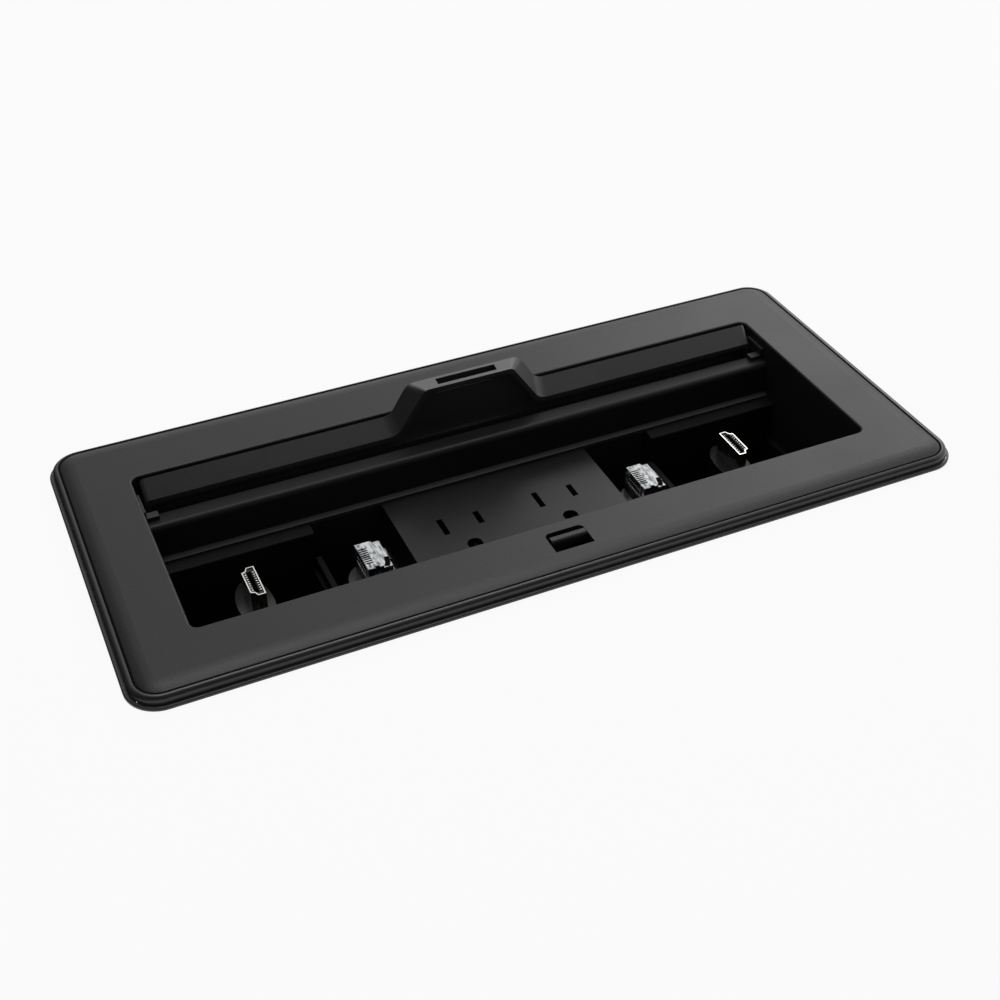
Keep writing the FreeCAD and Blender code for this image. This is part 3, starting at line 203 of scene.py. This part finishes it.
# painted highlight: milky white on the moulded ends and edges of the clear plugs, standing in
# for the light they scatter, and painted shade: grey on the same plastic where it covers a hollow
paintedHighlightPc = grained("clear polycarbonate, painted highlight", "f4f6f7", "e6eaec", 0.25, 1.0, 0.01)
shadedPc = grained("clear polycarbonate, painted shade over a hollow", "6f7375", "84888a", 0.2, 1.0, 0.01)
# painted shade: dead black for slots, hollows and joints that let no light out; also the
# black of the plug carriers and of the card by the table
blackAndPaintedShade = grained("dead black, painted shade", "060606", "090909", 0.8, 0.6, 0.01, specular=0.05)

# the clear plugs: shade and milk are the colours of the painted streaks, and frosted is the
# roughness of the faces painted lit
clearPlug = {"shade": "7d8387", "milk": "f6f8f9", "streak": 1.2, "ripple": 1.5,
             "clearest": 0.97, "polished": 0.06, "frosted": 0.3}


def clearPolycarbonate():
    # water-clear moulding: the sides are polished and show the dark bay through them; painted
    # light: the faces that point up turn milky white and rough, standing in for the light the plug
    # scatters from above
    p = clearPlug
    material, tree, surface, place = newMaterial("clear polycarbonate", "eef1f3", ior=1.585)
    # painted refraction: long streaks between milk and grey stand in for the light bent through the
    # plug
    long = addNode(tree, "Mapping", {"Vector": place, "Scale": (1.0, 0.4, 1.0)})
    cast = addNode(tree, "TexNoise", {"Vector": long.outputs["Vector"],
                                      "Scale": grainScale(p["streak"]), "Detail": 1.0})
    tone = addNode(tree, "MapRange", {"Value": cast.outputs["Fac"], "From Min": 0.36,
                                      "From Max": 0.56})
    skin = addNode(tree, "Mix", {"Factor": tone.outputs["Result"], 6: hexColour(p["shade"]),
                                 7: hexColour(p["milk"])}, data_type="RGBA")
    normal = addNode(tree, "NewGeometry").outputs["Normal"]
    upward = addNode(tree, "SeparateXYZ", {"Vector": normal}).outputs["Z"]
    # painted highlight mask: one where a face points up, nought on the sides
    upLitMask = addNode(tree, "MapRange", {"Value": upward, "From Min": 0.45, "From Max": 0.8})
    clear = addNode(tree, "MapRange", {"Value": upLitMask.outputs["Result"],
                                       "To Min": p["clearest"], "To Max": 0.0})
    gloss = addNode(tree, "MapRange", {"Value": upLitMask.outputs["Result"],
                                       "To Min": p["polished"], "To Max": p["frosted"]})
    fine = addNode(tree, "TexNoise", {"Vector": place, "Scale": grainScale(p["ripple"]),
                                      "Detail": 2.0})
    bump = addNode(tree, "Bump", {"Strength": 0.4, "Distance": 0.00005,
                                  "Height": fine.outputs["Fac"]})
    setSockets(tree, surface, {"Base Color": skin.outputs[2],
                               "Transmission Weight": clear.outputs["Result"],
                               "Roughness": gloss.outputs["Result"],
                               "Normal": bump.outputs["Normal"]})
    return material


finishes = {
    "bezel_plastic": bezelAbs, "lid_plastic": lidAbs, "trim_enamel": trimEnamel,
    "black_sheet": powderCoat, "liner_plastic": linerAbs, "outlet_plastic": outletPc,
    "contact_brass": rolledBrass, "gilt_contacts": goldPlate, "cup_plastic": nylonBlack,
    "nickel_shell": nickelPlate, "insert_plastic": nylonBlack, "boot_plastic": bootVinyl,
    "clear_plastic": clearPolycarbonate(), "zinc_steel": zincPlate, "black_rubber": blackRubber,
}
ownFinish = {"bridge": bridgeAbs, "video_frame_left": frameAbs, "video_frame_right": frameAbs}
slotOf = {entry["node"]: entry["material_slot"] for entry in frame["record"]["subparts"]}
for name, thing in frame["nodes"].items():
    for holder in thing.material_slots:
        holder.material = ownFinish.get(name, finishes[slotOf[name]])
print("materials set on", len(slotOf), "nodes")


# Details that are finer than the solids, in millimetres until beadPiece makes the mesh

def boxOf(node):
    # the low and high corners of a node's box
    return [np.array(corner) * 1000 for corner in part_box(node)]


def evenRow(count, pitch):
    # places at one pitch, centred on zero
    return (np.arange(count) - (count - 1) / 2) * pitch


def ringsAlong(spine, ahead, scale, width, height, squareness, around):
    # at each point of a level path an upright superellipse, square to the way ahead: cosine
    # and sine of an angle, each raised to the squareness, times half the width and height
    ahead = ahead / np.linalg.norm(ahead, axis=1)[:, None]
    side = np.stack([ahead[:, 1], -ahead[:, 0], np.zeros(len(ahead))], axis=1)
    angle = np.linspace(0, 2 * np.pi, around, endpoint=False)
    out, rise = [np.sign(wave) * np.abs(wave) ** squareness * size / 2
                 for wave, size in ((np.cos(angle), width), (np.sin(angle), height))]
    section = side[:, None, :] * out[None, :, None] \
        + np.array([0, 0, 1.0]) * rise[None, :, None]
    return spine[:, None, :] + scale[:, None, None] * section


def wallQuads(count, around, closed):
    # quads between neighbouring rings, and from the last ring to the first if closed
    ring, spoke = np.meshgrid(np.arange(count if closed else count - 1), np.arange(around),
                              indexing="ij")
    beyond, after = (ring + 1) % count, (spoke + 1) % around
    quads = np.stack([ring * around + spoke, beyond * around + spoke,
                      beyond * around + after, ring * around + after], axis=-1)
    return quads.reshape(-1, 4).tolist()


def bead(path, width, height, squareness=0.6, around=12):
    # rings along a level path; near either end they shrink as the sine of an angle while
    # they move on as the cosine, so the ends are round and closed
    path = np.asarray(path, float)
    run = np.concatenate([[0], np.cumsum(np.linalg.norm(np.diff(path, axis=0), axis=1))])
    reach = min(width, height, run[-1]) / 2
    turn = np.radians([22.5, 45, 67.5, 90])
    nose = reach * (1 - np.cos(turn))
    middle = run[(run > reach) & (run < run[-1] - reach)]
    stations = np.concatenate([nose, middle, run[-1] - nose[::-1]])
    scale = np.concatenate([np.sin(turn), np.ones(len(middle)), np.sin(turn)[::-1]])

    def along(where):
        return np.stack([np.interp(where, run, path[:, k]) for k in range(3)], axis=1)

    ahead = along(stations + reach / 4) - along(stations - reach / 4)
    rings = ringsAlong(along(stations), ahead, scale, width, height, squareness, around)
    count = len(stations)
    points = np.vstack([rings.reshape(-1, 3), path[:1], path[-1:]])
    spokes = np.arange(around)
    last = (count - 1) * around
    first = np.stack([np.full(around, count * around), spokes, (spokes + 1) % around], axis=1)
    final = np.stack([np.full(around, count * around + 1), last + (spokes + 1) % around,
                      last + spokes], axis=1)
    return points, wallQuads(count, around, False) + first.tolist() + final.tolist()


def closedBead(loop, width, height, around=10):
    # elliptical rings round a closed level loop, each square to its two neighbours
    ahead = np.roll(loop, -1, axis=0) - np.roll(loop, 1, axis=0)
    rings = ringsAlong(loop, ahead, np.ones(len(loop)), width, height, 1, around)
    return rings.reshape(-1, 3), wallQuads(len(loop), around, True)


def rimLoop(reachX, reachY, radius, z, steps=10):
    # level rounded rectangle: four quarter circles joined by straight runs
    turn = np.radians(np.linspace(0, 90, steps))
    corners = [(1, 1, 0), (-1, 1, 90), (-1, -1, 180), (1, -1, 270)]
    arcs = [np.stack([sx * (reachX - radius) + radius * np.cos(turn + np.radians(start)),
                      sy * (reachY - radius) + radius * np.sin(turn + np.radians(start)),
                      np.full(steps, z)], axis=1) for sx, sy, start in corners]
    return np.vstack(arcs)


def beadPiece(name, shapes, material):
    # several beads as one smooth mesh that stays with the housing
    points, faces, start = [], [], 0
    for own, quads in shapes:
        points.append(own / 1000)
        faces += [[start + k for k in face] for face in quads]
        start += len(own)
    mesh = newMesh(name, np.vstack(points).tolist(), faces, material)
    mesh.polygons.foreach_set("use_smooth", np.ones(len(faces), bool))
    mesh.update()
    piece = addObject(name, mesh)
    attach(piece, "housing")


# painted shadow: a fine black bead in the joint between the plate and the ring, standing in
# for the shadow down the gap, all round
jointShadow = {"width": 0.8, "height": 0.36, "inside": 0.18, "below": 1.05, "radius": 7.2}


def drawJointShadow():
    high = boxOf("bezel_plate")[1]
    loop = rimLoop(high[0] + jointShadow["inside"], high[1] + jointShadow["inside"], jointShadow["radius"],
                   high[2] - jointShadow["below"])
    beadPiece("joint_painted_shadow", [closedBead(loop, jointShadow["width"], jointShadow["height"])], blackAndPaintedShade)


# one video plug: two carriers inside the shell, with a row of contacts on each
videoPlug = {"rows": ((-1, 10), (1, 9)), "pitch": 1.1,
             "carrierOff": 1.42, "carrierWidth": 0.85, "carrierLength": 11.4,
             "carrierTop": 0.4, "carrierHeight": 0.6, "carrierSquare": 0.3, "shortEnd": 0.9,
             "toothOff": 1.3, "toothWidth": 0.75, "toothLength": 0.5, "toothRise": 0.3,
             "toothHeight": 0.5}


def videoDetails(side):
    p = videoPlug
    low, high = boxOf("video_plug_shell_" + side)
    x, y = (low[0] + high[0]) / 2, (low[1] + high[1]) / 2
    face = high[2] - p["carrierTop"]
    carriers, teeth = [], []
    for way, count in p["rows"]:
        half = p["carrierLength"] / 2 - (p["shortEnd"] if count % 2 else 0)
        line = [(x + way * p["carrierOff"], y + t, face - p["carrierHeight"] / 2)
                for t in (-half, half)]
        carriers.append(bead(line, p["carrierWidth"], p["carrierHeight"], p["carrierSquare"]))
        level = face + p["toothRise"] - p["toothHeight"] / 2
        for place in evenRow(count, p["pitch"]):
            line = [(x + way * p["toothOff"] + t * p["toothWidth"] / 2, y + place, level)
                    for t in (-1, 1)]
            teeth.append(bead(line, p["toothLength"], p["toothHeight"], around=8))
    # the carriers are drawn dead black: their own black plastic, darkened further as painted shade
    # so that the teeth stand out
    beadPiece("video_carriers_" + side, carriers, blackAndPaintedShade)
    beadPiece("video_teeth_" + side, teeth, tinPlate)


# one network plug, from the middle of its body: the walls that close the comb of contact
# slots and the step down to the latch, drawn as painted highlight, and painted highlights where
# the contacts glint through the side; each dark shape is the painted shade in one of the slots
# and hollows, flush in the face, with a path, a width and a height
networkPlug = {
    "bodyOff": 3.775, "ledgeDrop": 0.9, "pitch": 1.02, "count": 8,
    "wall": 0.5, "wallHeight": 0.5, "wallRise": 0.2,
    "nearWall": [(-3.4, -3.6), (-3.5, -5.9), (-3.2, -6.3), (-2.3, -6.3), (-1.9, -5.9),
                 (-1.5, -3.9)],
    "farWall": [(-3.4, 6.3), (-3.5, 4.6), (-3.2, 4.3), (-2.5, 4.3), (-2.2, 4.6), (-2.0, 6.3)],
    "stepWall": [(1.5, -4.6), (1.5, 6.2)],
    "latchRim": [(2.1, 5.9), (4.2, 5.9), (4.3, 1.2)],
    "notch": ([(-1.3, -6.25), (0.3, -6.25)], 0.8, 0.1),
    "slot": ([(-3.5, 0), (-0.9, 0)], 0.6, 0.08),
    "latchHollow": ([(2.7, -6.3), (3.6, -4.4), (4.1, -1.8)], 1.7, 0.12),
    "pockets": (([(-2.7, -5.7), (-2.4, -3.6)], 0.8, 0.06), ([(-2.9, 5.0), (-2.7, 6.2)], 0.8, 0.06)),
    "flush": 0.3,
    "contact": {"proud": 0.02, "half": 0.2, "drop": 2.8, "size": (0.1, 0.5), "square": 0.8},
    "carrier": {"half": 4.6, "drop": 5.0, "size": (0.1, 0.3)}}


def networkDetails(side):
    p = networkPlug
    low, high = boxOf("network_plug_" + side)
    face, top = low[0], high[2]
    x, y = face + p["bodyOff"], (low[1] + high[1]) / 2

    def run(points, z, shift=0):
        return [(x + a, y + b + shift, z) for a, b in points]

    def inset(shape, drop=0, shift=0, around=12):
        points, width, height = shape
        return bead(run(points, top - drop, shift), width, height, p["flush"], around)

    def glintStrip(middle, half, drop, size):
        # painted highlight: a short upright strip on the side face
        line = [(face - p["contact"]["proud"], y + middle + t, top - drop) for t in (-half, half)]
        return bead(line, *size, p["contact"]["square"], 8)

    rise = top + p["wallRise"] - p["wallHeight"] / 2
    levels = (("nearWall", rise), ("farWall", rise), ("stepWall", rise),
              ("latchRim", rise - p["ledgeDrop"]))
    walls = [bead(run(p[name], z), p["wall"], p["wallHeight"]) for name, z in levels]
    # painted highlight: the tops of the walls in lit milky white
    beadPiece("network_walls_" + side, walls, paintedHighlightPc)
    row = evenRow(p["count"], p["pitch"])
    slots = [inset(p["notch"])] + [inset(p["slot"], shift=place, around=8) for place in row]
    slots.append(inset(p["latchHollow"], p["ledgeDrop"]))
    # painted shade: dead black in the slots, the notch and the latch hollow
    beadPiece("network_slots_" + side, slots, blackAndPaintedShade)
    # painted shade: grey where the clear top covers a hollow
    beadPiece("network_pockets_" + side, [inset(shape) for shape in p["pockets"]], shadedPc)
    contact, carrier = p["contact"], p["carrier"]
    glintStrips = [glintStrip(place, contact["half"], contact["drop"], contact["size"]) for place in row]
    glintStrips.append(glintStrip(0, carrier["half"], carrier["drop"], carrier["size"]))
    # painted highlights: glints of the contacts and their carrier seen through the side
    beadPiece("network_glints_" + side, glintStrips, paintedHighlightPc)


drawJointShadow()
for side in ("left", "right"):
    videoDetails(side)
    networkDetails(side)
print("plug details made")


# Stage: white table top with the module's cut-out, and a card beside it; in metres

table = {"halfX": 0.1345, "halfY": 0.0580, "reach": 3.0, "drop": 0.00005, "paint": "f4f4f4",
         "glowShare": 0.9}
card = {"left": -0.6, "right": -0.1384, "front": -0.07, "rear": 0.6, "lift": 0.0002}


def whiteGround():
    # white to the camera, in reflections and through clear plastic, and pale paint to the
    # light, so that it keeps a shadow
    material = bpy.data.materials.new("white table laminate")
    tree = emptyTree(material)
    paint = addNode(tree, "BsdfDiffuse", {"Color": hexColour(table["paint"])})
    path = addNode(tree, "LightPath")
    direct = addNode(tree, "Math", {0: path.outputs["Is Camera Ray"],
                                    1: path.outputs["Is Transmission Ray"]}, operation="MAXIMUM")
    seen = addNode(tree, "Math", {0: direct.outputs["Value"],
                                  1: path.outputs["Is Glossy Ray"]}, operation="MAXIMUM")
    glow = addNode(tree, "Emission", {"Color": (1, 1, 1, 1), "Strength": seen.outputs["Value"]})
    both = addNode(tree, "MixShader", {"Fac": table["glowShare"], 1: paint.outputs["BSDF"],
                                       2: glow.outputs["Emission"]})
    addNode(tree, "OutputMaterial", {"Surface": both.outputs["Shader"]})
    return material


def tableTop():
    # flat ring: the four corners of the cut-out joined to four far corners
    signs = np.array([(-1, -1), (1, -1), (1, 1), (-1, 1)], float)
    flat = np.vstack([signs * (table["halfX"], table["halfY"]), signs * table["reach"]])
    points = np.hstack([flat, np.full((8, 1), -table["drop"])])
    faces = [(i, (i + 1) % 4, 4 + (i + 1) % 4, 4 + i)[::-1] for i in range(4)]
    addObject("tableTop", newMesh("tableTop", points.tolist(), faces, whiteGround()))


def blackCard():
    # flat on the table by the left end, out of the camera's sight; it keeps the white table
    # out of the gloss of the ring's left wall
    points = [(card[x], card[y], card["lift"]) for x, y in
              (("right", "front"), ("left", "front"), ("left", "rear"), ("right", "rear"))]
    thing = addObject("blackCard", newMesh("blackCard", points, [(3, 2, 1, 0)], blackAndPaintedShade))
    thing.visible_camera = thing.visible_shadow = thing.visible_diffuse = False


tableTop()
blackCard()
print("table and card set")


# Light and camera

room = {"windowSide": (0.75, 0.5, 0.43), "shadeFrom": 0.28, "lightFrom": 0.72,
        "dimWall": 0.03, "fill": 0.28}
lamps = {"keyBox": {"place": (0.78, 0.72, 0.66), "target": (0.08, 0, 0), "size": (0.6, 0.6),
                    "power": 2.4},
         "topBox": {"place": (0.05, 0.24, 1.1), "target": (0.05, 0, 0), "size": (0.9, 0.42),
                    "power": 4.5}}
view = {"lens": 51.16, "sensor": 36, "place": (-0.15577, -0.33888, 0.28449),
        "down": 38.79, "turn": -24.49, "near": 0.01, "far": 20}


def studioWorld():
    # a light room: plain white to the camera and through glass, softer grey as fill light,
    # and in reflections brightest on the window side, behind and to the right
    world = bpy.data.worlds.new("studio")
    bpy.context.scene.world = world
    tree = emptyTree(world)
    path = addNode(tree, "LightPath")
    away = addNode(tree, "TexCoord").outputs["Generated"]
    side = addNode(tree, "VectorMath", {0: away, 1: room["windowSide"]}, operation="DOT_PRODUCT")
    wall = addNode(tree, "MapRange", {"Value": side.outputs["Value"],
                                      "From Min": room["shadeFrom"],
                                      "From Max": room["lightFrom"], "To Min": room["dimWall"],
                                      "To Max": 1.0})
    soft = addNode(tree, "Mix", {0: path.outputs["Is Glossy Ray"], 2: room["fill"],
                                 3: wall.outputs["Result"]})
    direct = addNode(tree, "Math", {0: path.outputs["Is Camera Ray"],
                                    1: path.outputs["Is Transmission Ray"]}, operation="MAXIMUM")
    level = addNode(tree, "Math", {0: direct.outputs["Value"], 1: soft.outputs[0]},
                    operation="MAXIMUM")
    sky = addNode(tree, "Background", {"Color": (1, 1, 1, 1), "Strength": level.outputs["Value"]})
    addNode(tree, "OutputWorld", {"Surface": sky.outputs["Background"]})


def softLight(name, lamp):
    light = bpy.data.lights.new(name, "AREA")
    light.shape = "RECTANGLE"
    light.size, light.size_y = lamp["size"]
    light.energy = lamp["power"]
    thing = addObject(name, light)
    thing.location = lamp["place"]
    aim = Vector(lamp["target"]) - Vector(lamp["place"])
    thing.rotation_euler = aim.to_track_quat("-Z", "Y").to_euler()


def studioCamera():
    data = bpy.data.cameras.new("camera")
    data.lens, data.sensor_width = view["lens"], view["sensor"]
    data.clip_start, data.clip_end = view["near"], view["far"]
    camera = addObject("camera", data)
    camera.location = view["place"]
    camera.rotation_euler = (math.radians(90 - view["down"]), 0, math.radians(view["turn"]))
    bpy.context.scene.camera = camera


studioWorld()
for name, lamp in lamps.items():
    softLight(name, lamp)
studioCamera()
bpy.context.scene.view_settings.view_transform = "Standard"

print("scene ready")
